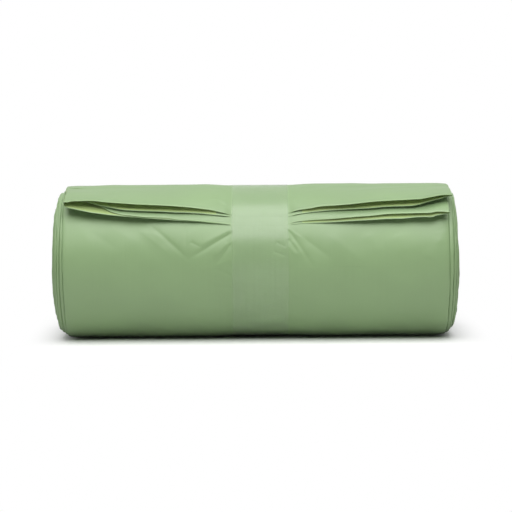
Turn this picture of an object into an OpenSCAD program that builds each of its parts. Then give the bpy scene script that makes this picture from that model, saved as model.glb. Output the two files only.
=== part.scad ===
// A coreless roll of folded plastic bags, held shut by a narrow band of film.
// X runs along the roll, the loose end faces -Y and the roll lies on its flat spot at Z = 0.

/* [Roll] */
// Length of the outermost turn from edge to edge
web_l = 191; // [150:1:260]
// Diameter of the open middle before the roll sags
hole_d = 16; // [12:1:24]
// Number of turns drawn, each one standing for many turns of thinner film
turns = 24; // [14:1:26]
// Drawn thickness of one layer of film
ply_t = 0.28; // [0.26:0.01:0.34]
// Air between one turn and the next
turn_gap = 0.12; // [0.1:0.01:0.2]
// How far the innermost turn stands out past the outermost at each end
bulge = 6.5; // [2:0.5:9]
// Unevenness of the turns' edges at the ends
edge_wave = 0.35; // [0:0.05:0.5]
// Share of its height that the open middle loses under the roll's weight
hole_sag = 0.35; // [0:0.05:0.45]
// Depth of the flat spot that the roll lies on
flat_d = 0.5; // [0.2:0.1:1]

/* [Loose end] */
// Angle up from the front at which the loose end leaves the roll
root_a = 78; // [70:1:86]
// Angle at which the upper pair of layers ends under the band
upper_a = 43; // [40:1:48]
// Angle at which the lower pair of layers ends under the band
lower_a = 34; // [26:1:37]
// Angle by which the left corner of the upper pair springs up
left_rise = 6; // [0:1:9]
// Angle by which the right corner of the upper pair springs up
right_rise = 9; // [0:1:11]
// Angle by which the corners of the lower pair spring up
lower_rise = 8; // [0:1:10]
// Height to which the upper pair lifts off the roll at its corners
lift = 5.5; // [1:0.5:8]
// Distance of the inner left fold from the outer left fold
fold_inset = 11; // [6:1:20]

/* [Band] */
// Width of the band along the roll
band_w = 28; // [15:1:60]
// Thickness of the band
band_t = 0.22; // [0.2:0.01:0.3]
// Air between the band and the film under it
band_clear = 0.08; // [0.06:0.01:0.15]

/* [Hidden] */

// Layers of film in one turn: a flat tube folded once along its length.
plies = 4;
turn_t = plies * ply_t;
pitch = turn_t + turn_gap;
seat_d = band_t + band_clear;
seat_side = 0.4;
pressed_t = turn_t - seat_d;

// Steps round one turn, for the inner turns and for the outermost.
coarse_n = 32;
fine_n = 64;
fine_turns = 1;
fine_step = 360 / fine_n;

// Width of the zone round the middle in which the sag is felt.
sag_r = 12;

// Half the length that the band presses down.
grip_x = band_w / 2 + seat_side;

// Steps of the loose end: each flank, the gripped middle, root to tip, and round each fold.
flank_n = 9;
middle_n = 3;
down_n = 7;
fold_n = 5;
// The loose end's layers are a little thinner than a turn's, and keep this air between them.
mouth_ply_t = ply_t - 0.06;
ply_gap = 0.03;
// The band's grip fades out over this length at each side of it.
grip_fade_l = 5;
// The loose end's outer folds stop this far short of the turn's own edges.
outer_x = web_l / 2 - 1.2;
lower_short = 0.6;
// The layers of a fold close up over the last part of the way to the corner.
closing_from = 0.78;
layer_lag_a = 2.4;

// Angle over which the band slopes down past each step in the film, and its start past the step.
ramp_a = 7;
ramp_gap_a = 1;
band_n = 96;
// How far the pressed ring's cutter reaches out past the film.
seat_reach = 3;

film_colour = [0.56, 0.66, 0.5];
band_colour = [0.72, 0.8, 0.68];

// The spiral: a turn number t counts up from the hole and is `turns` where the loose end leaves.
function turn_r(t) = hole_d / 2 + pitch * t;
function turn_at(a) = turns - (a - root_a) / 360;
function angle_at(t) = root_a + 360 * (turns - t);

// Radius of the same face straight below the middle, for the turn that t belongs to.
bottom_t = turn_at(270);
function bottom_r(t) = turn_r(bottom_t + round(t - bottom_t));

// The outermost turn rests on the ground, and the roll is centred front to back.
rest_r = turn_r(bottom_t) + turn_t - flat_d;
back_r = turn_r(turn_at(180)) + turn_t;
front_r = turn_r(turn_at(360)) + turn_t;
centre_y = (front_r - back_r) / 2;

// A height in the round roll, lowered near the hole by the sag and cut off at a flat spot.
function sagged(z, r) = z * (1 - hole_sag * exp(-pow(r / sag_r, 2)));
function settled(z, r, flat_r) = max(sagged(z, r), flat_d - flat_r);

// The point at distance x along the roll, radius r and angle a up from the front.
function place(x, r, a, flat_r) = [
  x,
  centre_y - r * cos(a),
  rest_r + settled(r * sin(a), r, flat_r)
];

function smooth(u) = let (c = min(1, max(0, u))) c * c * (3 - 2 * c);
function blend(p, q, w) = p + (q - p) * w;

// Half the length of turn t at one side: the ends bulge out towards the middle, a little unevenly.
function half_l(t, side) =
  web_l / 2
  + bulge * sqrt(max(0, 1 - pow(turn_r(t) / turn_r(turns), 2)))
  + edge_wave * (sin(131 * t + 50 * side) + 0.5 * sin(833 * t + 80 * side));

turn_steps = concat(
  [for (i = [0 : coarse_n * (turns - fine_turns) - 1]) i / coarse_n],
  [for (i = [0 : fine_n * fine_turns]) turns - fine_turns + i / fine_n]
);

// Faces of a sheet of quads, `wide` points a row and `rows` rows, closed round each row.
function tube_sides(wide, rows) = [
  for (i = [0 : rows - 2])
    for (j = [0 : wide - 1])
      let (p = i * wide + j, q = i * wide + (j + 1) % wide)
        each [[q + wide, q, p], [p + wide, q + wide, p]]
];

// All turns as one sheet of film wound from the hole outwards.
module wound_turns() {
  last = len(turn_steps) - 1;
  corners = [
    for (t = turn_steps)
      let (a = angle_at(t), r = turn_r(t), low = bottom_r(t))
        each [
          place(-half_l(t, -1), r, a, low),
          place(half_l(t, 1), r, a, low),
          place(half_l(t, 1), r + turn_t, a, low + turn_t),
          place(-half_l(t, -1), r + turn_t, a, low + turn_t)
        ]
  ];
  first_end = [[0, 1, 2], [0, 2, 3]];
  last_end = [for (f = first_end) [f[2], f[1], f[0]] + [4, 4, 4] * last];
  polyhedron(corners, concat(tube_sides(4, last + 1), first_end, last_end));
}

// Radius of the film under the band: the pressed loose end steps down twice below its root.
function grip_r(a, drop_a) =
  let (
    low_tip = lower_a - drop_a,
    high_tip = upper_a - drop_a
  )
  lookup(a < low_tip ? a + 360 : a, [
    [low_tip, turn_r(turn_at(low_tip)) + pressed_t / 2],
    [high_tip - ramp_a, turn_r(turn_at(high_tip - ramp_a)) + pressed_t / 2],
    [high_tip, turn_r(turn_at(high_tip)) + pressed_t],
    [low_tip - ramp_a + 360, turn_r(turn_at(low_tip - ramp_a + 360)) + pressed_t],
    [low_tip + 360, turn_r(turn_at(low_tip)) + pressed_t / 2]
  ]);

// A closed line round the roll, `out` outside the gripped film.
function grip_line(n, out) = [
  for (i = [0 : n - 1])
    let (
      a = 270 + 360 * i / n,
      r = grip_r(a % 360, ramp_gap_a) + out,
      p = place(0, r, a, turn_r(bottom_t) + pressed_t + out)
    )
      [p[1], p[2]]
];

// A flat radial plate that stands on the gripped film, as wide as the band with its side air.
module seat_plate(a) {
  low = turn_r(bottom_t) + pressed_t;
  r = turn_r(turn_at(a)) + pressed_t;
  foot = place(grip_x, r, a, low);
  head = place(grip_x, r + seat_reach, a, low + seat_reach);
  other_side = [-2 * grip_x, 0, 0];
  polyhedron([foot, head, head + other_side, foot + other_side], [[0, 1, 2, 3]]);
}

// The ring that the band presses out of the outermost turn, from the root round to under the tips.
module band_seat() {
  steps = ceil((lower_a + 360 - root_a) / fine_step);
  for (i = [0 : steps])
    hull() {
      seat_plate(root_a + (i - 0.5) * fine_step);
      seat_plate(root_a + (i + 0.5) * fine_step);
    }
}

// Where x lies along the loose end: 0 in the band's grip and 1 at the corners.
function out_at(x) = min(1, max(0, (abs(x) - grip_x) / (outer_x - grip_x)));
function grip_at(x) = 1 - smooth((abs(x) - grip_x) / grip_fade_l);

// Each layer's share of the lift, from the top layer down: along its flank and at its corner.
flank_share = [[1, 0.72, 0.55, 0.48], [1, 0.66, 0.56, 0.3]];
corner_share = [[1, 0.86, 0.55, 0.5], [1, 0.95, 0.56, 0.5]];
function share(p, x) =
  let (
    side = x > 0 ? 1 : 0,
    closing = smooth((out_at(x) - closing_from) / (1 - closing_from))
  )
  blend(flank_share[side][p], corner_share[side][p], closing);

// Angle at which layer p ends: it springs up towards the corners, the lower layer of a pair later.
function tip_a(p, x) =
  let (
    u = out_at(x),
    rise = p > 1 ? lower_rise : x > 0 ? right_rise : left_rise,
    lag = p % 2 * layer_lag_a * sqrt(u) * (1 - u)
  )
  (p < 2 ? upper_a : lower_a) + rise * pow(u, 0.7) - lag;

function film_t(x) = blend(mouth_ply_t, (pressed_t - 5 * ply_gap) / plies, grip_at(x));

// Height of the middle of layer p over the turn below, at share v of the way to its tip.
function film_h(p, x, v) =
  ply_gap + (plies - 1 - p) * (film_t(x) + ply_gap) + film_t(x) / 2
  + lift * share(p, x) * pow(out_at(x), 0.8) * pow(max(0, v), 1.6);

// Ends of layer p along the roll. The lower pair's right fold lies a little inside the upper one's.
function left_x(p) = p == 0 || p == 3 ? -outer_x : fold_inset - outer_x;
function right_x(p) = p < 2 ? outer_x : outer_x - lower_short;

// Place i of layer p along the roll, closer together near the band.
function ply_x(p, i) =
  i < flank_n ? blend(-grip_x, left_x(p), pow(1 - i / flank_n, 1.2))
  : i > flank_n + middle_n ? blend(grip_x, right_x(p), pow((i - middle_n) / flank_n - 1, 1.2))
  : blend(-grip_x, grip_x, (i - flank_n) / middle_n);

// The film's cross-section as columns: two layers, the blend between them, the place along the
// roll, how far a fold stands out there as a share of its radius, and the outward normal.
function ply_columns(p) =
  let (count = 2 * flank_n + middle_n, upward = p % 2 == 0)
  [
    for (i = [0 : count])
      [p, p, 0, ply_x(p, upward ? i : count - i), 0, 0, upward ? 1 : -1]
  ];
function fold_columns(p, q, side, facing) = [
  for (i = [1 : fold_n - 1])
    let (f = 180 * i / fold_n, x = side > 0 ? right_x(p) : left_x(p))
      [p, q, (1 - cos(f)) / 2, x, side * sin(f), facing * sin(f), (p % 2 == 0 ? 1 : -1) * cos(f)]
];
columns = concat(
  ply_columns(0), fold_columns(0, 1, 1, 1),
  ply_columns(1), fold_columns(1, 2, -1, 1),
  ply_columns(2), fold_columns(2, 3, 1, 1),
  ply_columns(3), fold_columns(3, 0, -1, -1)
);

// The point of column c at share v of the way down, on the outer (1) or inner (-1) face of the film.
function mouth_point(c, v, face) =
  let (
    x = c[3],
    high = film_h(c[0], x, v),
    low = film_h(c[1], x, v),
    half_t = face * film_t(x) / 2,
    a = root_a + v * (blend(tip_a(c[0], x), tip_a(c[1], x), c[2]) - root_a),
    r = turn_r(turn_at(a)) + blend(high, low, c[2]) + half_t * c[6]
  )
  place(x + c[4] * abs(high - low) / 2 + half_t * c[5], r, a, r);

// The loose end: the open mouth of a flat bag that is folded once, drawn as one tube of film.
// It starts a little inside the outermost turn.
module loose_end() {
  wide = len(columns);
  rows = concat([-0.08, 0.03], [for (i = [1 : down_n]) i / down_n]);
  tall = len(rows);
  outer = [for (v = rows) for (c = columns) mouth_point(c, v, 1)];
  inner = [for (v = rows) for (c = columns) mouth_point(c, v, -1)];
  inner_at = wide * tall;
  tip_at = wide * (tall - 1);
  skin = tube_sides(wide, tall);
  lining = [for (f = skin) [f[0], f[2], f[1]] + [1, 1, 1] * inner_at];
  rims = [
    for (j = [0 : wide - 1])
      let (k = (j + 1) % wide)
        each [
          [j, k, inner_at + j],
          [inner_at + k, inner_at + j, k],
          [tip_at + k, tip_at + j, inner_at + tip_at + j],
          [tip_at + k, inner_at + tip_at + j, inner_at + tip_at + k]
        ]
  ];
  flipped = [for (f = concat(skin, lining, rims)) [f[2], f[1], f[0]]];
  polyhedron(concat(outer, inner), flipped);
}

module bag_roll() {
  color(film_colour)
    union() {
      difference() {
        wound_turns();
        band_seat();
      }
      loose_end();
    }
}

// The band: a closed strip of film that follows the roll and crosses the pressed loose end.
module band() {
  color(band_colour)
    translate([-band_w / 2, 0, 0])
      rotate([90, 0, 90])
        linear_extrude(band_w)
          difference() {
            polygon(grip_line(band_n, band_clear + band_t));
            polygon(grip_line(band_n, band_clear));
          }
}

bag_roll();
band();
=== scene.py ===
"""A roll of sage-green bin bags with a clear film band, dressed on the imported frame."""

import math

import bpy
import numpy as np
from mathutils import Matrix, Vector


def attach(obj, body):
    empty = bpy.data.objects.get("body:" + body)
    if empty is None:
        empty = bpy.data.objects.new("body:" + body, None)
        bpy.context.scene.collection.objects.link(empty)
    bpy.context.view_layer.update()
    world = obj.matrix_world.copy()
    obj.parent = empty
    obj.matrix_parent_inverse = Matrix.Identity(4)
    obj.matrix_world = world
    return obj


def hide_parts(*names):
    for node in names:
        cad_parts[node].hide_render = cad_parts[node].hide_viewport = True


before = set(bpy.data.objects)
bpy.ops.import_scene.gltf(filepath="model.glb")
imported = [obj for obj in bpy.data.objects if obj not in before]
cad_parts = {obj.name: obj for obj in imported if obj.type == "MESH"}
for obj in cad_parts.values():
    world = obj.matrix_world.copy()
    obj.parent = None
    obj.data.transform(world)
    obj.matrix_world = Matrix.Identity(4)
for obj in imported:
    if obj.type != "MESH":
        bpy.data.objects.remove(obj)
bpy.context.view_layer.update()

# Sizes of the roll in millimetres and angles in degrees, which run up from the roll's front.
MM = 0.001
FILM_L = 190.6
# The right edges stop this much short, but for the first part of a turn below the loose end's root.
RIGHT_SHORT = 1.2
SHORT_FROM_TURNS = 0.25
# The last turn stands out a little further at the top of the roll, round this angle.
TOP_WIDE = 0.8
TOP_A = 88.0
TOP_SPREAD_A = 40.0
HOLE_R = 8.0
TURNS = 24
LAYERS = 4
PLY_T = 0.28
TURN_T = LAYERS * PLY_T
TURN_GAP = 0.12
PITCH = TURN_T + TURN_GAP
# How far the turns round the open middle stand out past the last turn, and the edges' unevenness.
LEFT_BULGE = 7.9
RIGHT_BULGE = 5.5
EDGE_WAVE = 0.35
# The turns' edges also stand out and draw in by packs of turns.
PACK_WAVE = 0.3
PACK_TURNS = 4.6
# The last turns are even.
EVEN_TURNS = 2
# Share of its height that the open middle loses, how far out that is felt, and the flat spot's depth.
HOLE_SAG = 0.35
SAG_R = 12.0
FLAT_D = 0.5
BOTTOM_A = 270.0
# Angles at which the loose end leaves the roll, and at which its two pairs of layers end in the band.
ROOT_A = 78.0
UPPER_A = 41.6
LOWER_A = 31.8
# The loose end's outer folds stop this far short of the film's edges.
FOLDS_SHORT = 0.6
OUTER_X = FILM_L / 2 - FOLDS_SHORT

# The photograph's frame: its size, the middle of the roll in it, and the millimetres that a pixel
# spans there. Then the camera's angle above level, its distance in mm and its tilt.
PHOTO_SIDE = 512
ROLL_PX = (258.0, 260.7)
MM_PER_PX = 0.507
CAMERA_UP_A = 5.0
CAMERA_FAR = 1102.0
CAMERA_TILT_A = 0.42
# The angle that shows at a pixel row is found from a first guess, in a few rounds.
FIRST_A = 30.0
VIEW_ROUNDS = 4
HIGHEST_SINE = 0.98
# An angle about the middle of the roll's upper front.
FRONT_A = 45.0


def turn_r(t):
    """Radius of the inner face of the film at turn t of the spiral."""
    return HOLE_R + PITCH * t


def turn_at(a):
    """The turn number at angle a, which runs up from the front over the top and on round the back."""
    return TURNS - (a - ROOT_A) / 360


BOTTOM_T = turn_at(BOTTOM_A)
REST_R = turn_r(BOTTOM_T) + TURN_T - FLAT_D
CENTRE_Y = (turn_r(turn_at(360.0)) - turn_r(turn_at(180.0))) / 2
OUTER_R = turn_r(TURNS - 0.5) + TURN_T


def smooth(u):
    """0 below 0, 1 above 1, and an even curve between."""
    c = np.clip(u, 0, 1)
    return c * c * (3 - 2 * c)


def mix(p, q, w):
    """From p where w is 0 to q where it is 1."""
    return p + (q - p) * w


def place(x, r, a, t):
    """Points in millimetres at distance x along the roll, radius r and angle a, on turn t of the spiral."""
    rad = np.radians(a)
    z = r * np.sin(rad)
    z = z * (1 - HOLE_SAG * np.exp(-((r / SAG_R) ** 2)))
    low_t = BOTTOM_T + np.round(t - BOTTOM_T)
    z = np.maximum(z, FLAT_D - (r - turn_r(t) + turn_r(low_t)))
    x, y, z = np.broadcast_arrays(x, CENTRE_Y - r * np.cos(rad), REST_R + z)
    return np.stack([x, y, z], axis=-1)


def height_in_view(x, px_y):
    """How many millimetres above the roll's middle line a pixel row lies in the photograph, at place x."""
    return (ROLL_PX[1] - px_y) * MM_PER_PX - x * math.tan(math.radians(CAMERA_TILT_A))


def angle_shown(x, px_y, r):
    """Angle at which a surface of radius r shows at a pixel row of the photograph, at place x."""
    a = FIRST_A
    for _ in range(VIEW_ROUNDS):
        nearer = 1 - r * np.cos(np.radians(a - CAMERA_UP_A)) / CAMERA_FAR
        sine = height_in_view(x, px_y) * nearer / r
        a = CAMERA_UP_A + np.degrees(np.arcsin(np.clip(sine, -HIGHEST_SINE, HIGHEST_SINE)))
    return a


def column_shown(px_x, a=FRONT_A):
    """Place along the roll of a pixel column of the photograph, near angle a."""
    nearer = 1 - OUTER_R * math.cos(math.radians(a - CAMERA_UP_A)) / CAMERA_FAR
    return (px_x - ROLL_PX[0]) * MM_PER_PX * nearer


def on_roll(px_x, px_y):
    """Place (x, angle) on the roll's front that shows at a pixel of the photograph."""
    a = float(angle_shown(column_shown(px_x), px_y, OUTER_R))
    return column_shown(px_x, a), a


# Faces that meet at more than this angle are shaded with a sharp edge.
SHARP_A = 50


def new_mesh(name, points, quads, materials, face_materials=None):
    """A mesh piece from points in millimetres and quads, riding on the roll's body."""
    mesh = bpy.data.meshes.new(name)
    points = np.asarray(points, float).reshape(-1, 3) * MM
    quads = np.asarray(quads, np.int64)
    mesh.vertices.add(len(points))
    mesh.vertices.foreach_set("co", points.ravel())
    mesh.loops.add(quads.size)
    mesh.loops.foreach_set("vertex_index", quads.ravel())
    mesh.polygons.add(len(quads))
    mesh.polygons.foreach_set("loop_start", np.arange(0, quads.size, quads.shape[1]))
    mesh.update(calc_edges=True)
    mesh.polygons.foreach_set("use_smooth", np.ones(len(quads), bool))
    for material in materials:
        mesh.materials.append(material)
    if face_materials is not None:
        mesh.polygons.foreach_set("material_index", np.asarray(face_materials, np.int32))
    mesh.validate()
    mesh.set_sharp_from_angle(angle=math.radians(SHARP_A))
    piece = bpy.data.objects.new(name, mesh)
    bpy.context.scene.collection.objects.link(piece)
    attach(piece, "root")
    return piece


def grid_quads(rows, cols, closed=False, start=0):
    """Quads of a grid of points stored row by row, whose rows are closed loops if asked."""
    i = np.arange(rows - 1)[:, None]
    j = np.arange(cols if closed else cols - 1)[None, :]
    k = (j + 1) % cols
    quads = np.stack([i * cols + j, i * cols + k, (i + 1) * cols + k, (i + 1) * cols + j], -1)
    return quads.reshape(-1, 4) + start


def value_noise(u, v, seed):
    """Smooth noise between -1 and 1 over a lattice of unit squares, the same for the same seed."""
    size = 64
    lattice = np.random.default_rng(seed).uniform(-1, 1, (size, size))
    u, v = np.broadcast_arrays(np.asarray(u, float), np.asarray(v, float))
    i, j = np.floor(u).astype(int), np.floor(v).astype(int)
    fu, fv = smooth(u - i), smooth(v - j)
    top = mix(lattice[i % size, j % size], lattice[(i + 1) % size, j % size], fu)
    low = mix(lattice[i % size, (j + 1) % size], lattice[(i + 1) % size, (j + 1) % size], fu)
    return mix(top, low, fv)


def waves(u, v, height, long_u, long_v, seed, shift=0):
    """Noise of the given height, in waves of the given lengths along u and v."""
    return height * value_noise(u / long_u + shift, v / long_v, seed)


# The band's edges in the photograph, at this angle on the roll, and its middle and half its width.
# Then half the length that it presses, how deep, and how far beyond it the film is still drawn in.
BAND_PX = (232.0, 288.5)
BAND_PX_A = 20.0
BAND_FROM, BAND_TO = (column_shown(px_x, BAND_PX_A) for px_x in BAND_PX)
BAND_X = (BAND_FROM + BAND_TO) / 2
BAND_HALF_W = (BAND_TO - BAND_FROM) / 2
BAND_SIDE = 0.2
GRIP_X = BAND_HALF_W + BAND_SIDE
WAIST_D = 0.5
DRAWN_IN_L = 15.0
# Below the tips the film is drawn in little by little, over this angle.
WAIST_A = 85.0


def past_grip(x):
    """How far beyond the band's grip a place lies, less than 0 inside it."""
    return np.abs(x - BAND_X) - GRIP_X


def waist(x, a):
    """How far the band draws the outermost film in at place x and angle a: not under the loose end."""
    clear_of_tips = smooth((360 + LOWER_A - a) / WAIST_A)
    return -WAIST_D * (1 - smooth(past_grip(x) / DRAWN_IN_L)) * clear_of_tips


def out_at(x):
    """0 in the band's grip and 1 at the roll's ends."""
    reach = OUTER_X - np.sign(x - BAND_X) * BAND_X - GRIP_X
    return np.clip(past_grip(x) / reach, 0, 1)


# Height of the pressed layers over the turn's inner face at the lower tips, how far the film steps
# down past the upper tips, and the angle over which it does.
TIP_T = 0.09
UPPER_LEDGE = 0.06
STEP_A = 2.5


def held_r(a):
    """Radius of the film's outer face under the band, from just before the tips once round the roll."""
    over_turn = turn_r(turn_at(a))
    wound = over_turn + TURN_T + waist(BAND_X, a)
    to_root = np.clip((a - LOWER_A) / (ROOT_A - LOWER_A), 0, 1)
    ledge = UPPER_LEDGE * (1 - smooth((a - UPPER_A) / STEP_A + 1)) * (1 - to_root)
    pressed = over_turn + mix(TIP_T, TURN_T - WAIST_D, to_root) - ledge
    bare = turn_r(turn_at(a + 360)) + TURN_T + waist(BAND_X, a + 360)
    on_tips = smooth((a - LOWER_A) / STEP_A + 1)
    return np.where(a > ROOT_A, wound, mix(bare, pressed, on_tips))


# Creases of the film, each from pixel to pixel of the photograph: height in mm (a valley is
# negative), half width in mm, and how much wider it gets towards its end.
CREASES = [
    ((152, 226), (187, 258), -0.36, 0.9, 1.6),
    ((140, 230), (172, 256), 0.18, 1.6, 1.4),
    ((231, 233), (190, 258), -0.46, 0.9, 1.7),
    ((231, 229), (199, 246), 0.34, 1.3, 1.6),
    ((231, 244), (214, 267), -0.36, 0.8, 1.9),
    ((227, 243), (214, 257), 0.22, 1.2, 1.4),
    ((185.8, 225), (185, 249), -0.18, 0.6, 1.0),
    ((191, 242), (201, 247), -0.2, 0.8, 1.0),
    ((130, 226), (170, 240), 0.26, 2.4, 1.6),
    ((110, 226), (140, 244), 0.26, 3.0, 1.6),
    ((92, 232), (118, 250), -0.18, 2.2, 1.6),
    ((76, 222), (96, 252), 0.26, 3.2, 1.5),
    ((220, 204.2), (228, 208), -0.24, 0.7, 1.0),
    ((218, 200.2), (229, 206), 0.2, 0.9, 1.0),
    ((217, 187), (228, 192), 0.12, 1.0, 1.2),
    ((196, 188), (226, 199), 0.10, 1.4, 1.2),
    ((289, 230), (312, 265), -0.44, 0.8, 2.2),
    ((287, 227.4), (306, 240), 0.34, 0.9, 1.8),
    ((293, 230), (331, 258), -0.3, 1.2, 2.0),
    ((289, 239), (298, 252), -0.3, 0.7, 1.6),
    ((293, 241), (304, 256), 0.28, 0.9, 1.6),
    ((288, 245), (296, 255), 0.14, 0.8, 1.2),
    ((277, 242), (286, 246.6), -0.2, 0.6, 1.0),
    ((274.5, 251.5), (286, 256), -0.2, 0.6, 1.0),
    ((439, 231), (442, 244), 0.2, 1.4, 1.2),
    ((444, 226), (424, 256), -0.18, 1.2, 1.6),
    ((293.5, 204.8), (298, 200.6), -0.22, 0.7, 1.0),
    ((289, 204), (296, 199.6), 0.2, 0.9, 1.2),
    ((303, 198), (334, 187), 0.14, 1.6, 1.4),
    ((352, 194), (446, 185.5), 0.16, 1.8, 1.0),
    ((330, 236), (365, 262), 0.22, 3.0, 1.4),
    ((368, 234), (382, 254), 0.2, 3.0, 1.4),
    ((398, 234), (408, 254), 0.2, 3.0, 1.4),
    ((430, 258), (438, 236), 0.22, 1.6, 1.0),
    ((216, 327), (231, 333), -0.4, 1.2, 1.0),
    ((301, 328), (292, 333), -0.4, 1.0, 1.0),
]


# A crease fades in from before its start and out until past its end, in shares of its length. Its
# peak is rounded, by a number and about its square root.
CREASE_BEFORE = 0.12
CREASE_IN = 0.24
CREASE_PAST = 1.15
CREASE_OUT = 0.5
CREASE_ROUND = 0.06
CREASE_PEAK = 0.245


def crease_height(x, s, start, end, height, width, widening):
    """A crease between two points of the unrolled film: sharp across, and fading out at both ends."""
    start, end = np.array(start, float), np.array(end, float)
    along = end - start
    length = np.linalg.norm(along)
    along /= length
    u = ((x - start[0]) * along[0] + (s - start[1]) * along[1]) / length
    d = (x - start[0]) * along[1] - (s - start[1]) * along[0]
    w = width * mix(1.0, widening, np.clip(u, 0, 1))
    fade = smooth((u + CREASE_BEFORE) / CREASE_IN) * smooth((CREASE_PAST - u) / CREASE_OUT)
    return height * fade * np.exp(-np.sqrt((d / w) ** 2 + CREASE_ROUND) + CREASE_PEAK)


def film_length(a):
    """Distance round the roll in mm of an angle on the outermost turn."""
    return np.radians(a) * OUTER_R


def front_crease(first, last):
    """The two ends of a crease on the unrolled film, from its two pixels."""
    places = [on_roll(*first), on_roll(*last)]
    return [(x, film_length(a)) for x, a in places]


# The band's gathers: their number and seed, the first one's angle past the root and the angle over
# which they lie, how unevenly, and the ranges of their lean, length, height and half width.
GATHERS = 56
GATHERS_SEED = 7
GATHERS_FROM_A = 12
GATHERS_OVER_A = 286
GATHERS_UNEVEN = 0.4
GATHER_LEAN_A = (-14, 14)
GATHER_L = (8, 26)
GATHER_HEIGHT = (-0.13, 0.1)
GATHER_WIDTH = (0.7, 1.5)
GATHER_WIDENING = 1.8


def band_gathers():
    """Fine gathers that fan out from both sides of the band, all round the roll."""
    rng = np.random.default_rng(GATHERS_SEED)
    gathers = []
    for i in range(GATHERS):
        side = 1 if i % 2 else -1
        uneven = rng.uniform(-GATHERS_UNEVEN, GATHERS_UNEVEN)
        a = ROOT_A + GATHERS_FROM_A + GATHERS_OVER_A * (i + uneven) / GATHERS
        lean = rng.uniform(*GATHER_LEAN_A)
        reach = rng.uniform(*GATHER_L)
        start = (BAND_X + side * GRIP_X, film_length(a))
        end = (BAND_X + side * (GRIP_X + reach), film_length(a + lean))
        shape = (rng.uniform(*GATHER_HEIGHT), rng.uniform(*GATHER_WIDTH), GATHER_WIDENING)
        gathers.append((start, end, *shape))
    return gathers


# Share of their height that the soft dents keep under the band, and how soon they reach all of it
# beside it: at 1 only at the roll's end, at 6 a sixth of the way to it.
HELD_SHARE = 0.1
LOOSE_SOON = 6
# Soft dents, slants each way and streaks: height, length along and round the roll in mm, and seed.
LARGE_DENTS = (0.22, 34, 26, 11)
LARGE_DENTS_SHIFT = 3.1
SMALL_DENTS = (0.25, 12, 12, 12)
UP_SLANTS = (0.06, 9, 30, 13)
DOWN_SLANTS = (0.03, 5, 18, 14)
STREAKS = (1, 1.3, 40, 15)
# The streaks' height, what the band adds to it, and over what length at its edges.
STREAK_HEIGHT = 0.012
BAND_STREAK_HEIGHT = 0.02
BAND_EDGE_L = 1.5
# Where the roll lies on its flat spot the film is pressed nearly flat, and past the last of these
# angles it lies flat under the loose end.
GROUND_HALF_A = 8
GROUND_SHARE = 0.9
HIDDEN_A = 396
FADE_A = 14


def wrinkles(x, a):
    """Height in mm of the film's folds, dents and gathers at place x and unwound angle a."""
    s = film_length(a)
    soft = waves(x, s, *LARGE_DENTS, LARGE_DENTS_SHIFT) + waves(x, s, *SMALL_DENTS)
    slant = waves(x + s, x - s, *UP_SLANTS) + waves(x - s, x + s, *DOWN_SLANTS)
    in_band = 1 - smooth(past_grip(x) / BAND_EDGE_L + 1)
    streaks = (STREAK_HEIGHT + BAND_STREAK_HEIGHT * in_band) * waves(x, s, *STREAKS)
    loose = HELD_SHARE + (1 - HELD_SHARE) * smooth(out_at(x) * LOOSE_SOON)
    h = (soft + slant) * loose + streaks
    turn_a = np.where(a > 360, a - 360, a)
    turn_s = film_length(turn_a)
    for first, last, *shape in CREASES:
        start, end = front_crease(first, last)
        h = h + crease_height(x, turn_s, start, end, *shape)
    for start, end, *shape in band_gathers():
        h = h + crease_height(x, s, start, end, *shape)
    on_ground = 1 - smooth((np.abs(a - BOTTOM_A) - GROUND_HALF_A) / FADE_A)
    hidden = smooth((a - HIDDEN_A) / FADE_A)
    return h * (1 - GROUND_SHARE * on_ground) * (1 - hidden)


# How far the turns' edges stand out towards the middle of each end: share of the roll's radius,
# share of the bulge.
LEFT_SHAPE = [(0, 1), (0.25, 0.95), (0.49, 0.88), (0.62, 0.82), (0.73, 0.74), (0.8, 0.66),
              (0.86, 0.58), (0.908, 0.46), (0.941, 0.3), (0.972, 0.04), (1, 0)]
RIGHT_SHAPE = [(0, 1), (0.25, 0.97), (0.49, 0.94), (0.62, 0.91), (0.73, 0.87), (0.8, 0.83),
               (0.86, 0.74), (0.908, 0.6), (0.941, 0.34), (0.972, 0.02), (1, 0)]
# The edges drift as the solids' do: share of the wave, degrees for a turn, and degrees for a side.
EDGE_DRIFT = [(1, 131, 50), (0.5, 833, 80)]
# Finer unevenness: height in mm, waves in a turn, shift and distance between the layers' noise, and
# what is added to the side's seed.
EDGE_FINE = [(0.30, 5.0, 31, 9.7, 0), (0.16, 23.0, 0, 7.3, 5), (0.10, 51.0, 0, 3.1, 9)]
LEFT_SEED = 22
RIGHT_SEED = 21


def end_edge(t, side, layer=0.0):
    """Distance from the roll's middle of the film's edge at turn t on one side, wavy along each turn."""
    right = side > 0
    bulge, shape = (RIGHT_BULGE, RIGHT_SHAPE) if right else (LEFT_BULGE, LEFT_SHAPE)
    seed = RIGHT_SEED if right else LEFT_SEED
    inner = bulge * np.interp(turn_r(t) / turn_r(TURNS), *zip(*shape))
    drift = EDGE_WAVE * sum(share * np.sin(np.radians(turn_a * t + side_a * side))
                            for share, turn_a, side_a in EDGE_DRIFT)
    packs = PACK_WAVE * np.sin(2 * np.pi * (t - TURNS) / PACK_TURNS) * smooth((TURNS - t) / EVEN_TURNS)
    fine = sum(height * value_noise(t * often + shift * layer, layer * apart, seed + more)
               for height, often, shift, apart, more in EDGE_FINE)
    shorter = RIGHT_SHORT * smooth((TURNS - t) / SHORT_FROM_TURNS) if right else 0
    wide = TOP_WIDE * np.exp(-((np.asarray(t) - turn_at(TOP_A)) * 360 / TOP_SPREAD_A) ** 2)
    return FILM_L / 2 - shorter + inner + drift + packs + fine + wide


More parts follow.
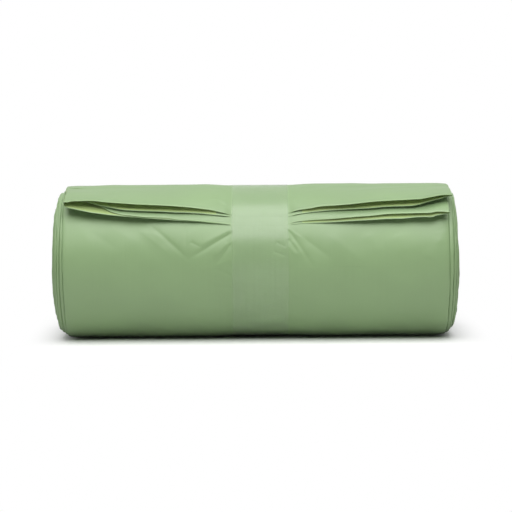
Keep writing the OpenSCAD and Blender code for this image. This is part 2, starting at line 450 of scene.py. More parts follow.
# The rounded end of a turn: places across its thickness from -1 inside to 1 outside. The film's
# layers lie in three bundles, with a groove between them.
CAP_PLACES = np.array([-1.0, -0.86, -0.6, -0.38, -0.3, -0.1, 0.1, 0.3, 0.38, 0.6, 0.86, 1.0])
BUNDLES = 3
CAP_ROUND = 0.5
CAP_POWER = 1.6
CAP_GROOVE = 0.3
GROOVE_PLACE = 0.34
GROOVE_WIDTH = 0.06
# The outermost turn sinks in by this much at its two edges, over this length.
EDGE_SAG = 0.45
EDGE_SAG_L = 5.0


def cap_points(t, a, side, thick):
    """Points of the end of turn t, from its inner to its outer face, at several stations."""
    s = CAP_PLACES[None, :]
    bundle = np.minimum(np.floor((s + 1) / 2 * BUNDLES), BUNDLES - 1)
    groove = CAP_GROOVE * np.exp(-(((np.abs(s) - GROOVE_PLACE) / GROOVE_WIDTH) ** 2))
    x = end_edge(t[:, None], side, bundle) - CAP_ROUND * np.abs(s) ** CAP_POWER - groove
    r = turn_r(t)[:, None] + thick * (s + 1) / 2
    return place(side * x, r, a[:, None], t[:, None])


# Where a turn's edge ends on the turn below it, a groove with painted shade on its faces runs along
# it: how far it reaches to each side of that edge, how deep it is, and how far it stays inside the
# lower turn's end.
FOOT_L = 0.3
FOOT_D = 0.3
FOOT_INSIDE = 0.05


def foot_points(t, a, side, cap):
    """Two points of the face of turn t: the outer and the deeper side of the groove beside turn t + 1."""
    limit = np.abs(cap[:, -1, 0]) - FOOT_INSIDE
    outside = np.minimum(end_edge(t + 1, side) + FOOT_L, limit)
    deep = outside - 2 * FOOT_L
    x = side * np.stack([outside, deep], axis=1)
    r = turn_r(t)[:, None] + TURN_T - np.array([[0, FOOT_D]])
    return place(x, r, a[:, None], t[:, None])


def closed_off(points, flat):
    """The rows with one more row at each end that shuts the sheet, laid flat on its inner face."""
    return np.concatenate([flat[:1], points, flat[-1:]])


# Rows in each of the turns inside the outermost.
TURN_ROWS = 96


def wound_core(material, shade):
    """All turns but the outermost, as one sheet wound from the middle, with soft layered ends."""
    t = np.arange(0, TURN_ROWS * (TURNS - 1) + 1) / TURN_ROWS
    a = ROOT_A + 360 * (TURNS - t)
    right = cap_points(t, a, 1, TURN_T)
    left = cap_points(t, a, -1, TURN_T)
    sides = [right, foot_points(t, a, 1, right), foot_points(t, a, -1, left)[:, ::-1], left[:, ::-1]]
    points = np.concatenate(sides, axis=1)
    inner = place(points[..., 0], turn_r(t)[:, None], a[:, None], t[:, None])
    points = closed_off(points, inner)
    rows, cols = points.shape[:2]
    # The groove's faces beside each turn's end take the darker material: painted shade.
    shade_columns = np.zeros(cols, int)
    shade_columns[[len(CAP_PLACES), -len(CAP_PLACES) - 2]] = 1
    slots = np.tile(shade_columns, rows - 1)
    quads = grid_quads(rows, cols, closed=True)[:, ::-1]
    return new_mesh("bag_roll_turns", points, quads, [material, shade], slots)


# Angles of the outermost turn's rows, closer together on the front, where its folds show. It
# covers a little more than a whole turn, and its columns are closer towards the middle.
LAP_A = 4
FRONT_FROM_A = 400
FRONT_TO_A = 336
LAP_STEP_A = 1.5
FRONT_STEP_A = 0.5
BACK_ROWS = 150
OUTER_ANGLES = np.concatenate([
    np.arange(ROOT_A + 360 + LAP_A, FRONT_FROM_A, -LAP_STEP_A),
    np.arange(FRONT_FROM_A, FRONT_TO_A, -FRONT_STEP_A),
    np.linspace(FRONT_TO_A, ROOT_A, BACK_ROWS),
])
OUTER_COLUMNS = 251
MIDDLE_CLOSER = 0.55
# The film's folds fade out over this share of the way to its edges.
CALM_SHARE = 0.03


def outer_turn(material):
    """The outermost turn, from under the loose end right round to its root, with its folds and dents."""
    a = OUTER_ANGLES
    t = turn_at(a)
    right = cap_points(t, a, 1, TURN_T - EDGE_SAG)[:, ::-1]
    left = cap_points(t, a, -1, TURN_T - EDGE_SAG)
    flat = np.linspace(-1, 1, OUTER_COLUMNS)[1:-1]
    flat = flat * mix(MIDDLE_CLOSER, 1.0, flat**2)
    right_edge = right[:, :1, 0]
    left_edge = left[:, -1:, 0]
    x = np.where(flat[None, :] > 0, flat * right_edge, -flat * left_edge)
    near_end = smooth((1 - np.abs(flat)) / CALM_SHARE)[None, :]
    from_edge = np.minimum(right_edge - x, x - left_edge)
    sag = EDGE_SAG * np.clip(1 - from_edge / EDGE_SAG_L, 0, 1) ** 2
    height = wrinkles(x, a[:, None]) * near_end + waist(x, a[:, None]) - sag
    face = place(x, turn_r(t)[:, None] + TURN_T + height, a[:, None], t[:, None])
    points = np.concatenate([left, face, right], axis=1)
    points[..., 2] = np.maximum(points[..., 2], 0)
    inner = place(points[..., 0], turn_r(t)[:, None], a[:, None], t[:, None])
    points = closed_off(points, inner)
    rows, cols = points.shape[:2]
    return new_mesh("bag_roll_outer", points, grid_quads(rows, cols, closed=True), [material])


# The free edges of the loose end's four layers, from the band out to each side, as the photograph
# shows them: pixel column and row. Layers 0 and 1 are the upper bag layers, 2 and 3 the lower.
LEFT_EDGES = [
    [(232, 214.6), (229, 213.9), (222.5, 212.4), (211, 209.8), (197, 208.1), (185, 206.6),
     (168, 205.3), (160, 204.9), (138, 203.9), (117, 202.3), (103, 201.2), (99, 200.6), (92, 200.2),
     (80, 200.6), (72, 200.9), (67.5, 201.2), (65, 202.6)],
    [(232, 216.4), (229, 216.1), (220, 215.3), (208, 214.2), (197, 213.1), (185, 212.4),
     (168, 211.8), (141, 210.6), (127, 209.8), (120, 208.9), (110, 206.8), (99, 204.6), (92, 202.5),
     (86, 201.2)],
    [(232, 224.5), (225, 223.6), (214, 222.7), (202, 221.3), (191, 220.4), (179, 219.3), (168, 217.8),
     (145, 217), (138, 216.1), (122, 214.2), (112, 211.3), (105, 207.5), (98, 203.6), (86, 200.4)],
    [(232, 225.1), (229, 224.6), (214, 223.1), (202, 221.8), (191, 221), (180, 220.3),
     (168, 219.4), (158, 218.9), (145, 217.9), (136, 217), (128, 216.3), (113, 214.8), (92, 212.1),
     (78, 209.3), (69.6, 207.6), (64.5, 206)],
]
RIGHT_EDGES = [
    [(287, 213.8), (290, 212.1), (300, 209.5), (309, 208.3), (320, 206.1), (332, 205.2), (349, 204.1),
     (370, 201.7), (394, 199.7), (409, 199), (420, 198.8), (428, 197.3), (441, 194.8), (449.5, 194.6)],
    [(287, 216.5), (300, 213.5), (314, 211.5), (329, 210.1), (349, 209.2), (370, 208), (386, 206.5),
     (401, 205.7), (413, 205.4), (420, 203.9), (432, 200.5), (442, 197.8), (449.5, 195.6)],
    [(287, 224), (297, 221.3), (314, 219.6), (329, 218.7), (349, 217.3), (370, 215.6), (386, 213.8),
     (401, 212.8), (416, 212.7), (430, 212.8), (435, 211.3), (442.5, 211.3), (448.5, 212)],
    [(287, 224.4), (303, 223.2), (314, 222.7), (329, 222.1), (349, 221), (370, 219.9), (386, 218.8),
     (401, 218.1), (416, 216.9), (432, 217.1), (435, 215.4), (442, 214.3), (448.5, 213)],
]
# How high each layer's free edge stands off the roll in mm, from the band (0) to the corner (1).
LIFT_PLACES = [0, 0.04, 0.16, 0.32, 0.5, 0.68, 0.84, 0.93, 1]
LEFT_LIFTS = [
    [0, 1.1, 3.0, 5.0, 6.5, 7.4, 7.8, 7.5, 6.8],
    [0, 0.6, 1.4, 2.6, 3.8, 4.8, 5.5, 5.7, 5.7],
    [0, 0.2, 0.9, 2.0, 3.2, 4.2, 5.0, 5.4, 5.4],
    [0, 0.1, 0.7, 1.8, 3.0, 4.0, 4.7, 5.0, 5.1],
]
RIGHT_LIFTS = [
    [0, 1.1, 3.0, 5.0, 6.5, 7.4, 7.8, 7.4, 6.6],
    [0, 0.6, 1.5, 2.7, 3.9, 4.9, 5.5, 5.7, 5.9],
    [0, 0.3, 1.2, 2.4, 3.4, 4.2, 4.7, 4.8, 4.8],
    [0, 0.1, 0.6, 1.5, 2.4, 3.0, 3.4, 3.6, 3.7],
]
# Angles at which the layers end under the band, where those of a pair lie a little apart.
UPPER_PAIR_A = 1.6
LOWER_PAIR_A = 0.4
HELD_TIP_A = [UPPER_A, UPPER_A - UPPER_PAIR_A, LOWER_A + LOWER_PAIR_A, LOWER_A]
# The inner left fold lies this far inside the outer one, and the upper right fold stands out.
FOLD_INSET = 11.0
UPPER_LONG = 0.6
# The film of the loose end is a little thinner than a wound turn's, with at least this air between
# its layers. Then the distance from layer to layer at the root, and where the band presses them.
MOUTH_T = 0.2
PLY_GAP = 0.03
LAYER_STEP = TURN_T / LAYERS
PRESSED_STEP = (TURN_T - WAIST_D) / LAYERS
LIFT_POWER = 1.6
# Each layer curls down by this much over the last of its length. The curl grows from the band out
# and is whole at one part in this many of the way to the roll's end.
LIP_L = 1.0
LIP_DROP = 0.2
CURL_SOON = 8
# The photo's edges hold from this far inside the band's grip, over this length.
FREE_FROM = 1.0
FREE_OVER = 1.5
# The free edges are worked out at these places along the roll, and averaged over a few of them.
# Their angles are found in a few rounds, because they depend on the layers' heights.
EDGE_PLACES = np.linspace(-110, 110, 2201)
EDGE_AVERAGE = 25
TIP_ROUNDS = 3
# The top layer's left corner draws in by this much, and the lowest one's stands out a little, both
# over this length.
CORNER_SHIFT = 1.5
LOW_CORNER_SHARE = -0.15
CORNER_L = 20
# The left outer fold stands out by this share of a half circle.
PINCHED = 0.35
# Columns for each layer and each fold, and how unevenly they are spread over a layer.
LAYER_COLUMNS = 150
FOLD_COLUMNS = 12
SPREAD_WAVE = 0.10
# Shares of the way to the tip at which the film's rows lie, closer together in the last ones.
LIP_ROWS = np.array([0.026, 0.015, 0.006, 0])
DOWN_ROWS = np.concatenate([[0.0], np.linspace(0.02, 0.93, 32) ** 0.85, 1 - LIP_ROWS])
# The last faces of each layer beside the band take the lip's painted highlight colour.
LIP_HIGHLIGHT_FACES = 2
# Under the band each face of film lies this far below the next, and the squeeze ends this far out.
HELD_STEP = 0.02
SQUEEZE_L = 2.0
# The tube's inside shows from this far beyond the band's grip, where it opens. Its colour is painted
# brighter and yellower than the outside, for the light that comes through the thin film.
OPEN_FROM = 7.0
# Share of the loose end's length from its root over which its edges leave the outermost turn's,
# how far from its own edges its points move for that, and over what length that grows.
ROOT_SHARE = 0.5
ROOT_EDGE_L = 12
ROOT_EDGE_OVER = 10
# The loose layers flutter: height in mm, length along the roll in mm and in shares of the way to
# the tip, and seed, and how much a layer's noise is shifted from the next one's.
FLUTTER = (0.10, 8, 0.4, 31)
FLUTTER_SHIFT = 5
# It grows from the band and from the root: whole a fifth of the way to the roll's end, and two
# thirds of the way to the tip.
FLUTTER_BESIDE = 5
FLUTTER_DOWN = 1.5


def edge_rows(layer, x):
    """Pixel row of a layer's free edge at places x outside the band."""
    rows = np.zeros_like(x)
    for side, edges in ((-1, LEFT_EDGES), (1, RIGHT_EDGES)):
        line = sorted(edges[layer])
        places = [column_shown(px_x) for px_x, _ in line]
        row = np.interp(EDGE_PLACES, places, [px_y for _, px_y in line])
        kernel = np.hanning(EDGE_AVERAGE)
        row = np.pad(row, EDGE_AVERAGE // 2, mode="edge")
        row = np.convolve(row, kernel / kernel.sum(), mode="valid")
        here = x * side > 0
        rows[here] = np.interp(x[here], EDGE_PLACES, row)
    return rows


def lift_at(layer, x):
    """How far a layer's free edge stands off the roll at places x."""
    left = np.interp(out_at(x), LIFT_PLACES, LEFT_LIFTS[layer])
    right = np.interp(out_at(x), LIFT_PLACES, RIGHT_LIFTS[layer])
    return np.where(x < 0, left, right)


def step_at(x):
    """Distance from one gripped or loose layer to the next at the root, at places x."""
    grip = 1 - smooth(past_grip(x) / DRAWN_IN_L)
    return mix(LAYER_STEP, PRESSED_STEP, grip)


def thin_at(x):
    """Thickness of one layer of the loose end at places x."""
    return np.minimum(MOUTH_T, step_at(x) - PLY_GAP)


def tip_angle(layer, x):
    """Angle at which a layer ends, at places x: straight across under the band, and as seen beside it."""
    straight = HELD_TIP_A[layer]
    x = np.asarray(x, float)
    level = (LAYERS - layer) * step_at(x)
    shown = np.full_like(x, float(straight))
    for _ in range(TIP_ROUNDS):
        r = turn_r(turn_at(shown)) + level + lift_at(layer, x) - LIP_DROP * smooth(out_at(x) * CURL_SOON)
        shown = angle_shown(x, edge_rows(layer, x), r)
    free = smooth((past_grip(x) + FREE_FROM) / FREE_OVER)
    return mix(straight, shown, free)


def layer_height(layer, x, v, tip_a):
    """Height of the middle of a layer above the turn below, at share v of the way to its tip."""
    level = (LAYERS - layer) * step_at(x) - 0.5 * thin_at(x)
    rise = lift_at(layer, x) * np.maximum(v, 0) ** LIFT_POWER
    to_tip = (1 - v) * np.radians(ROOT_A - tip_a) * OUTER_R
    curl = LIP_DROP * smooth(out_at(x) * CURL_SOON) * np.clip(1 - to_tip / LIP_L, 0, 1) ** 2
    return level + rise - curl


def loose_columns():
    """The film tube's cross-section: layer, next layer, blend, place, stand-out, and outward normal."""
    rows = []
    spread = np.linspace(0, 1, LAYER_COLUMNS)
    spread = spread + SPREAD_WAVE * np.sin(4 * np.pi * spread) / (2 * np.pi)
    for layer in range(LAYERS):
        left = -OUTER_X if layer in (0, LAYERS - 1) else FOLD_INSET - OUTER_X
        right = OUTER_X + (UPPER_LONG if layer < 2 else -RIGHT_SHORT)
        upward = layer % 2 == 0
        along = spread if upward else spread[::-1]
        for w in along:
            rows.append((layer, layer, 0, mix(left, right, w), 0, 0, 1 if upward else -1))
        after = (layer + 1) % LAYERS
        side = 1 if upward else -1
        x = right if upward else left
        facing = -1 if layer == LAYERS - 1 else 1
        for i in range(1, FOLD_COLUMNS):
            f = math.pi * i / FOLD_COLUMNS
            rows.append((layer, after, (1 - math.cos(f)) / 2, x, side * math.sin(f),
                         facing * side * math.sin(f), (1 if upward else -1) * math.cos(f)))
    return np.array(rows)


def layer_shapes(columns, v):
    """Heights and tip angles of each column's layer and of its next one, a row for every share v."""
    x = columns[:, 3]
    high, low, top_a, low_a = (np.zeros((len(v), len(x))) for _ in range(4))
    for layer in range(LAYERS):
        tip_a = tip_angle(layer, x)
        height = layer_height(layer, x[None, :], v[:, None], tip_a[None, :])
        for source, height_out, angle_out in ((0, high, top_a), (1, low, low_a)):
            here = columns[:, source] == layer
            height_out[:, here] = height[:, here]
            angle_out[:, here] = np.broadcast_to(tip_a, height.shape)[:, here]
    return high, low, top_a, low_a


def root_edges(x, v):
    """At its root the loose end takes the last turn's edges: moves along the roll, and height kept."""
    at_root = (1 - smooth(v / ROOT_SHARE))[:, None]
    to_edge = np.where(x > 0, end_edge(TURNS, 1), end_edge(TURNS, -1)) - CAP_ROUND / 2 - np.abs(x)
    near_edge = smooth((np.abs(x) - OUTER_X + ROOT_EDGE_L) / ROOT_EDGE_OVER)
    moves = np.sign(x) * to_edge * near_edge * at_root
    kept = 1 - at_root * EDGE_SAG / TURN_T * np.clip(1 - (OUTER_X - np.abs(x)) / EDGE_SAG_L, 0, 1) ** 2
    return moves, kept


def loose_face(columns, v, face):
    """Points of the tube's outer (1) or inner (-1) face, a row for every share v."""
    x = columns[:, 3]
    high, low, top_a, low_a = layer_shapes(columns, v)
    moves, kept = root_edges(x, v)
    high, low = high * kept, low * kept
    blend = columns[None, :, 2]
    a = ROOT_A + v[:, None] * (mix(top_a, low_a, blend) - ROOT_A)
    half_t = face * thin_at(x) / 2
    pinched = np.where(columns[:, 0] - columns[:, 1] == LAYERS - 1, PINCHED, 1)
    out = columns[None, :, 4] * pinched * np.abs(high - low) / 2 + half_t * columns[:, 5]
    folds = wrinkles(x[None, :] + 0 * a, a)
    flutter = waves(x[None, :], v[:, None], *FLUTTER, FLUTTER_SHIFT * columns[None, :, 0])
    flutter = flutter * smooth(out_at(x) * FLUTTER_BESIDE) * smooth(v[:, None] * FLUTTER_DOWN)
    r = turn_r(turn_at(a)) + mix(high, low, blend) + half_t * columns[:, 6] + folds + flutter
    faces_above = 2 * mix(columns[:, 0], columns[:, 1], columns[:, 2]) + (face * columns[:, 6] < 0)
    held = held_r(a) - HELD_STEP * (1 + faces_above)
    r = mix(r, np.minimum(r, held), 1 - smooth(past_grip(x) / SQUEEZE_L))
    share = np.select([columns[:, 0] == 0, columns[:, 0] == LAYERS - 1], [1, LOW_CORNER_SHARE], 0)
    corner = CORNER_SHIFT * share * smooth((-x - OUTER_X + CORNER_L) / CORNER_L) * v[:, None] ** 2
    return place(x + out + corner + moves, r, a, turn_at(a))


def loose_end(outside, inside, lip):
    """The loose end of the outermost bag: an open, folded tube of film with its four layers."""
    columns = loose_columns()
    outer = loose_face(columns, DOWN_ROWS, 1)
    inner = loose_face(columns, DOWN_ROWS, -1)
    rows, cols = outer.shape[:2]
    skin = grid_quads(rows, cols, closed=True)
    lining = grid_quads(rows, cols, closed=True, start=rows * cols)[:, ::-1]
    j = np.arange(cols)
    k = (j + 1) % cols
    tip, inner_at = (rows - 1) * cols, rows * cols
    rims = np.concatenate([
        np.stack([tip + j, tip + k, inner_at + tip + k, inner_at + tip + j], -1),
        np.stack([k, j, inner_at + j, inner_at + k], -1),
    ])
    quads = np.concatenate([skin, lining, rims])
    beside_band = past_grip(columns[:, 3]) > 0
    opened = past_grip(columns[:, 3]) > OPEN_FROM
    # The last faces and the rims beside the band take the lip's lighter colour, a painted highlight.
    lip_highlight_rows = np.arange(rows - 1) >= rows - 1 - LIP_HIGHLIGHT_FACES
    at_lip_highlight = (lip_highlight_rows[:, None] & beside_band[None, :]).ravel()
    # Where the tube is open, its inner faces take the inside colour: painted light through the film.
    inside_lit_through = np.tile(np.where(opened, 1, 0), rows - 1)
    rim_highlight = np.tile(np.where(beside_band, 2, 0), 2)
    slots = np.concatenate([np.where(at_lip_highlight, 2, 0), np.where(at_lip_highlight, 2, inside_lit_through), rim_highlight])
    points = np.concatenate([outer.reshape(-1, 3), inner.reshape(-1, 3)])
    return new_mesh("bag_roll_loose_end", points, quads, [outside, inside, lip], slots)


# The band's distance from the film, its thickness, and its least height over the ground.
BAND_GAP = 0.08
BAND_FILM_T = 0.12
BAND_OFF_GROUND = 0.02
# Its ripples: height, length along the roll in mm, round it in degrees, and seed. It lies further
# out by as much as they can take off together.
RIPPLES = [(0.05, 4.5, 23, 42), (0.025, 1.7, 40, 43)]
BAND_RIPPLE = 0.075
# Its edges wander by this much, in waves of this angle, from a row of noise for each side.
WANDER = 0.2
WANDER_A = 31
WANDER_ROWS = (4, 10)
WANDER_SEED = 41
# Points round it and across it, and where it starts, a little before the lower tips.
BAND_ROWS = 320
BAND_COLUMNS = 48
BAND_START_A = LOWER_A - STEP_A - 1


def band_film(material):
    """The clear film band, in the drawn-in waist of the roll and over the loose end's steps."""
    a = BAND_START_A + 360 * np.arange(BAND_ROWS) / BAND_ROWS
    from_middle = np.linspace(-1, 1, BAND_COLUMNS)[None, :]
    side_row = np.where(from_middle < 0, *WANDER_ROWS)
    edge = WANDER * value_noise(a[:, None] / WANDER_A, side_row, WANDER_SEED)
    x = BAND_X + from_middle * (BAND_HALF_W + edge)
    ripple = sum(waves(x, a[:, None], *shape) for shape in RIPPLES)
    r = held_r(a)[:, None] + BAND_GAP + BAND_RIPPLE + ripple
    t = turn_at(a)[:, None]
    inner = place(x, r, a[:, None], t)
    outer = place(x, r + BAND_FILM_T, a[:, None], t)
    points = np.concatenate([inner, outer[:, ::-1]], axis=1)
    points[..., 2] = np.maximum(points[..., 2], BAND_OFF_GROUND)
    rows, cols = points.shape[:2]
    quads = grid_quads(rows + 1, cols, closed=True) % (rows * cols)
    return new_mesh("band_film", points, quads, [material])


# Colour, roughness and index of refraction of the film outside, inside the loose end, at its lip and
# in the grooves between turns, and of the band, which also lets light through. The inside's colour is
# painted with light that comes through the thin film, the lip's lighter one is a painted highlight,
# and the grooves' darker one is painted shade.
FILM_COLOUR = (0.228, 0.352, 0.158)
FILM_ROUGH = 0.52
FILM_IOR = 1.65
# Brighter and yellower than the outside: painted light that comes through the thin film.
INSIDE_LIT_THROUGH_COLOUR = (0.385, 0.51, 0.195)
INSIDE_ROUGH = 0.6
INSIDE_IOR = 1.4
# Lighter than the film: a painted highlight along the layers' edges.
LIP_HIGHLIGHT_COLOUR = (0.31, 0.45, 0.22)
LIP_ROUGH = 0.4
LIP_IOR = 1.45
# Darker than the film: painted shade in the grooves between turns.
SHADE_COLOUR = (0.19, 0.295, 0.13)
SHADE_ROUGH = 0.6
SHADE_IOR = 1.35
BAND_COLOUR = (0.51, 0.65, 0.43)
BAND_ALPHA = 0.1
BAND_ROUGH = 0.5
BAND_IOR = 1.4
# How much smoother the film looks where the band holds it flat, and half the border of that in mm.
BAND_SMOOTHER = 0.6
BAND_BORDER = 0.5
SHEEN = 0.16
SHEEN_ROUGH = 0.45
# Clouds, long streaks and fine grain in the film: stretch along the axes, cycles a metre, and detail.
CLOUDS = ((1, 1, 1), 26, 4)
LONG_STREAKS = ((1, 0.05, 0.05), 700, 3)
GRAIN = ((1, 1, 1), 2600, 2)
# The part of the clouds' values that is used, how far they vary the roughness, and the bumps'
# heights in m.
CLOUD_LOW = 0.3
CLOUD_HIGH = 0.7
ROUGH_SPREAD = 0.04
STREAK_D = 0.0001
GRAIN_D = 0.00005


def node(tree, kind, inputs=None, **settings):
    """A new shader node with its settings, and its inputs either linked or given a value."""
    made = tree.nodes.new(kind)
    for name, value in settings.items():
        setattr(made, name, value)
    for name, value in (inputs or {}).items():
        if isinstance(value, bpy.types.NodeSocket):
            tree.links.new(value, made.inputs[name])
        else:
            made.inputs[name].default_value = value
    return made


def noise_at(tree, stretch, scale, detail):
    """Noise in the object's own space, in cycles a metre, stretched along its axes."""
    coords = node(tree, "ShaderNodeTexCoord").outputs["Object"]
    spread = node(tree, "ShaderNodeMapping", {"Vector": coords, "Scale": stretch})
    return node(tree, "ShaderNodeTexNoise", {
        "Vector": spread.outputs["Vector"], "Scale": scale, "Detail": detail,
    }).outputs["Fac"]


def ramp(tree, value, low, high, out_low, out_high, curve="LINEAR"):
    """A value taken from one range to another, evenly or along a smooth curve."""
    return node(tree, "ShaderNodeMapRange", {
        "Value": value, "From Min": low, "From Max": high, "To Min": out_low, "To Max": out_high,
    }, interpolation_type=curve).outputs["Result"]


def tinted(tree, value, dark, light):
    """A colour between two others, by a value from 0 to 1."""
    mixer = node(tree, "ShaderNodeMix", data_type="RGBA")
    tree.links.new(value, mixer.inputs[0])
    mixer.inputs[6].default_value = (*dark, 1)
    mixer.inputs[7].default_value = (*light, 1)
    return mixer.outputs[2]


def under_band(tree):
    """1 where the band lies, in the middle of the roll, and 0 elsewhere."""
    coords = node(tree, "ShaderNodeTexCoord").outputs["Object"]
    along = node(tree, "ShaderNodeSeparateXYZ", {"Vector": coords}).outputs["X"]
    off = node(tree, "ShaderNodeMath", {0: along, 1: BAND_X * MM}, operation="SUBTRACT").outputs[0]
    off = node(tree, "ShaderNodeMath", {0: off}, operation="ABSOLUTE").outputs[0]
    return ramp(tree, off, (BAND_HALF_W - BAND_BORDER) * MM, (BAND_HALF_W + BAND_BORDER) * MM, 1, 0)


def film_material(name, colour, rough, ior, spread=0.05, streak=0.25, grain=0.12):
    """Matt plastic film: a slightly uneven colour and gloss, long soft streaks round the roll, fine grain."""
    material = bpy.data.materials.new(name)
    material.use_nodes = True
    tree = material.node_tree
    shader = tree.nodes["Principled BSDF"]
    cloudy = noise_at(tree, *CLOUDS)
    streaks = noise_at(tree, *LONG_STREAKS)
    fine = noise_at(tree, *GRAIN)
    dark = [c * (1 - spread) for c in colour]
    light = [min(1, c * (1 + spread)) for c in colour]
    tone = ramp(tree, cloudy, CLOUD_LOW, CLOUD_HIGH, 0, 1)
    tree.links.new(tinted(tree, tone, dark, light), shader.inputs["Base Color"])
    uneven = ramp(tree, cloudy, CLOUD_LOW, CLOUD_HIGH, rough - ROUGH_SPREAD, rough + ROUGH_SPREAD)
    smoother = ramp(tree, under_band(tree), 0, 1, 1, BAND_SMOOTHER)
    sheen = node(tree, "ShaderNodeMath", {0: uneven, 1: smoother}, operation="MULTIPLY")
    tree.links.new(sheen.outputs[0], shader.inputs["Roughness"])
    shader.inputs["IOR"].default_value = ior
    shader.inputs["Sheen Weight"].default_value = SHEEN
    shader.inputs["Sheen Roughness"].default_value = SHEEN_ROUGH
    first = node(tree, "ShaderNodeBump", {"Height": streaks, "Strength": streak, "Distance": STREAK_D})
    second = node(tree, "ShaderNodeBump", {
        "Height": fine, "Strength": grain, "Distance": GRAIN_D, "Normal": first.outputs["Normal"],
    })
    tree.links.new(second.outputs["Normal"], shader.inputs["Normal"])
    return material


def clear_material(name, colour, alpha, rough, ior):
    """Thin clear film with fine lines round the roll from where it was stretched."""
    material = film_material(name, colour, rough, ior, spread=0.03, streak=0.25, grain=0.02)
    shader = material.node_tree.nodes["Principled BSDF"]
    shader.inputs["Alpha"].default_value = alpha
    return material


film = film_material("film", FILM_COLOUR, FILM_ROUGH, FILM_IOR)
film_inside_lit_through = film_material("film_inside_lit_through", INSIDE_LIT_THROUGH_COLOUR, INSIDE_ROUGH, INSIDE_IOR)
film_lip_highlight = film_material("film_lip_highlight", LIP_HIGHLIGHT_COLOUR, LIP_ROUGH, LIP_IOR)
clear = clear_material("clear_film", BAND_COLOUR, BAND_ALPHA, BAND_ROUGH, BAND_IOR)
film_shade = film_material("film_shade", SHADE_COLOUR, SHADE_ROUGH, SHADE_IOR)

turns = wound_core(film, film_shade)
outer = outer_turn(film)
loose = loose_end(film, film_inside_lit_through, film_lip_highlight)
for piece in (turns, outer, loose):
    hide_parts("bag_roll")
band = band_film(clear)
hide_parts("band")

# The floor: a plain matt sheet that takes the roll's shadow near it and is seen white further off.
# Its side and its depth under the roll in m, and how pale it is to the camera and to other light.
FLOOR_SIDE = 6.0
FLOOR_BELOW = 0.0001
FLOOR_SEEN = 0.9
FLOOR_BOUNCE = 0.77
# It turns white between two distances in m from a line under the roll, which is this long to each
# side, and past the roll's ends between two places along it.
UNDER_ROLL = 0.09
NEAR_FLOOR = 0.045
FAR_FLOOR = 0.11
END_FROM = 0.089
END_TO = 0.118


def floor_material():
    """Matt near the roll, and white to the camera further off."""
    material = bpy.data.materials.new("floor")
    material.use_nodes = True
    tree = material.node_tree
    tree.nodes.clear()
    place_at = node(tree, "ShaderNodeTexCoord").outputs["Object"]
    across = node(tree, "ShaderNodeVectorMath", {0: place_at}, operation="ABSOLUTE").outputs["Vector"]
    past = node(tree, "ShaderNodeVectorMath", {0: across, 1: (UNDER_ROLL, 0, 0)}, operation="SUBTRACT")
    past = node(tree, "ShaderNodeVectorMath", {0: past.outputs["Vector"]}, operation="MAXIMUM")
    far_off = node(tree, "ShaderNodeVectorMath", {0: past.outputs["Vector"]}, operation="LENGTH")
    away = ramp(tree, far_off.outputs["Value"], NEAR_FLOOR, FAR_FLOOR, 0, 1)
    along = node(tree, "ShaderNodeSeparateXYZ", {"Vector": across}).outputs["X"]
    past_end = ramp(tree, along, END_FROM, END_TO, 0, 1, "SMOOTHSTEP")
    away = node(tree, "ShaderNodeMath", {0: away, 1: past_end}, operation="MAXIMUM").outputs[0]
    seen = node(tree, "ShaderNodeLightPath").outputs["Is Camera Ray"]
    white_away = node(tree, "ShaderNodeMath", {0: away, 1: seen}, operation="MULTIPLY").outputs[0]
    tone = tinted(tree, seen, [FLOOR_BOUNCE] * 3, [FLOOR_SEEN] * 3)
    matt = node(tree, "ShaderNodeBsdfDiffuse", {"Color": tone})
    white = node(tree, "ShaderNodeEmission", {"Color": (1, 1, 1, 1), "Strength": 1.0})
    both = node(tree, "ShaderNodeMixShader", {0: white_away, 1: matt.outputs[0], 2: white.outputs[0]})
    node(tree, "ShaderNodeOutputMaterial", {"Surface": both.outputs[0]})
    return material


def make_floor():
    """The floor, which is no part of the object."""
    mesh = bpy.data.meshes.new("floor")
    half = FLOOR_SIDE / 2
    corners = [(-half, -half, 0), (half, -half, 0), (half, half, 0), (-half, half, 0)]
    mesh.from_pydata(corners, [], [(0, 1, 2, 3)])
    mesh.materials.append(floor_material())
    floor = bpy.data.objects.new("floor", mesh)
    floor.location = (0, 0, -FLOOR_BELOW)
    bpy.context.scene.collection.objects.link(floor)


# The world's light on the film, and what its gloss mirrors in front of it and behind it, with the
# directions between which that changes.
WORLD_LIGHT = 0.1
GLOSS_BEFORE = 0.15
GLOSS_BEHIND = 1.0
GLOSS_FROM_Y = -0.3
GLOSS_TO_Y = 0.5


def make_world():
    """White where the camera sees past the floor, and duller for the film, most of all in front."""
    world = bpy.data.worlds.new("studio")
    bpy.context.scene.world = world
    world.use_nodes = True
    tree = world.node_tree
    tree.nodes.clear()
    path = node(tree, "ShaderNodeLightPath").outputs
    way = node(tree, "ShaderNodeTexCoord").outputs["Generated"]
    behind = node(tree, "ShaderNodeSeparateXYZ", {"Vector": way}).outputs["Y"]
    gloss = ramp(tree, behind, GLOSS_FROM_Y, GLOSS_TO_Y, GLOSS_BEFORE, GLOSS_BEHIND)
    lit = ramp(tree, path["Is Glossy Ray"], 0, 1, WORLD_LIGHT, gloss)
    strength = ramp(tree, path["Is Camera Ray"], 0, 1, lit, 1.0)
    light = node(tree, "ShaderNodeBackground", {"Color": (1, 1, 1, 1), "Strength": strength})
    node(tree, "ShaderNodeOutputWorld", {"Surface": light.outputs[0]})


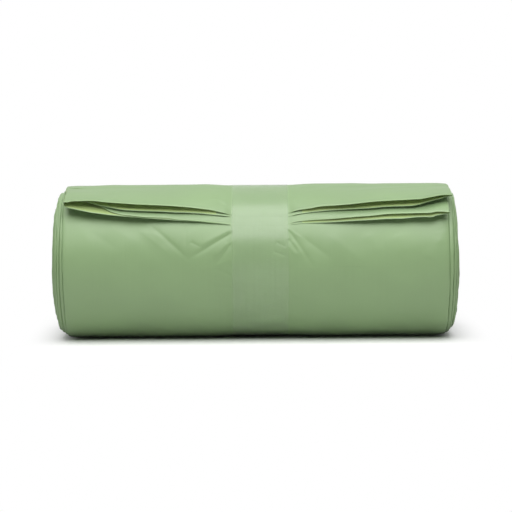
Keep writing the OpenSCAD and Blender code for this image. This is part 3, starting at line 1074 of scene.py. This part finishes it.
def make_lamp(name, place_at, look_at, size, radiance):
    """A square soft lamp whose face has the given radiance, where 1 is white."""
    light = bpy.data.lights.new(name, "AREA")
    light.shape = "SQUARE"
    light.size = size
    light.energy = radiance * math.pi * size * size
    lamp = bpy.data.objects.new(name, light)
    lamp.location = place_at
    lamp.rotation_euler = (Vector(look_at) - Vector(place_at)).to_track_quat("-Z", "Y").to_euler()
    bpy.context.scene.collection.objects.link(lamp)


# The camera's sensor width in mm, and how far it sees in m.
SENSOR_MM = 36
CAMERA_SEES = 20


def make_camera():
    """The photograph's view: level with the roll, a little above, with a long lens."""
    up_a, tilt_a = math.radians(CAMERA_UP_A), math.radians(CAMERA_TILT_A)
    middle = Vector((0, CENTRE_Y, REST_R)) * MM
    back = Vector((0, -math.cos(up_a), math.sin(up_a)))
    upright = Vector((0, math.sin(up_a), math.cos(up_a)))
    level = Vector((1, 0, 0))
    right = level * math.cos(tilt_a) - upright * math.sin(tilt_a)
    up = upright * math.cos(tilt_a) + level * math.sin(tilt_a)
    across = (PHOTO_SIDE / 2 - ROLL_PX[0]) * MM_PER_PX * MM
    above = (ROLL_PX[1] - PHOTO_SIDE / 2) * MM_PER_PX * MM
    data = bpy.data.cameras.new("camera")
    data.sensor_width = SENSOR_MM
    data.lens = SENSOR_MM / PHOTO_SIDE * CAMERA_FAR / MM_PER_PX
    data.clip_end = CAMERA_SEES
    camera = bpy.data.objects.new("camera", data)
    view = Matrix((right, up, back)).transposed().to_4x4()
    view.translation = middle + across * right + above * up + back * CAMERA_FAR * MM
    camera.matrix_world = view
    bpy.context.scene.collection.objects.link(camera)
    bpy.context.scene.camera = camera


# The softbox over the roll and a little in front: its distance and side in m, its angle above level,
# and the radiance of its face, where 1 is white.
SOFTBOX_FAR = 1.0
SOFTBOX_SIDE = 1.1
SOFTBOX_UP_A = 67.0
SOFTBOX_RADIANCE = 4.3

make_floor()
make_world()
softbox_a = math.radians(SOFTBOX_UP_A)
softbox_at = (0, -math.cos(softbox_a) * SOFTBOX_FAR, REST_R * MM + math.sin(softbox_a) * SOFTBOX_FAR)
make_lamp("softbox", softbox_at, (0, 0, REST_R * MM), SOFTBOX_SIDE, SOFTBOX_RADIANCE)
make_camera()
bpy.context.scene.view_settings.view_transform = "Standard"
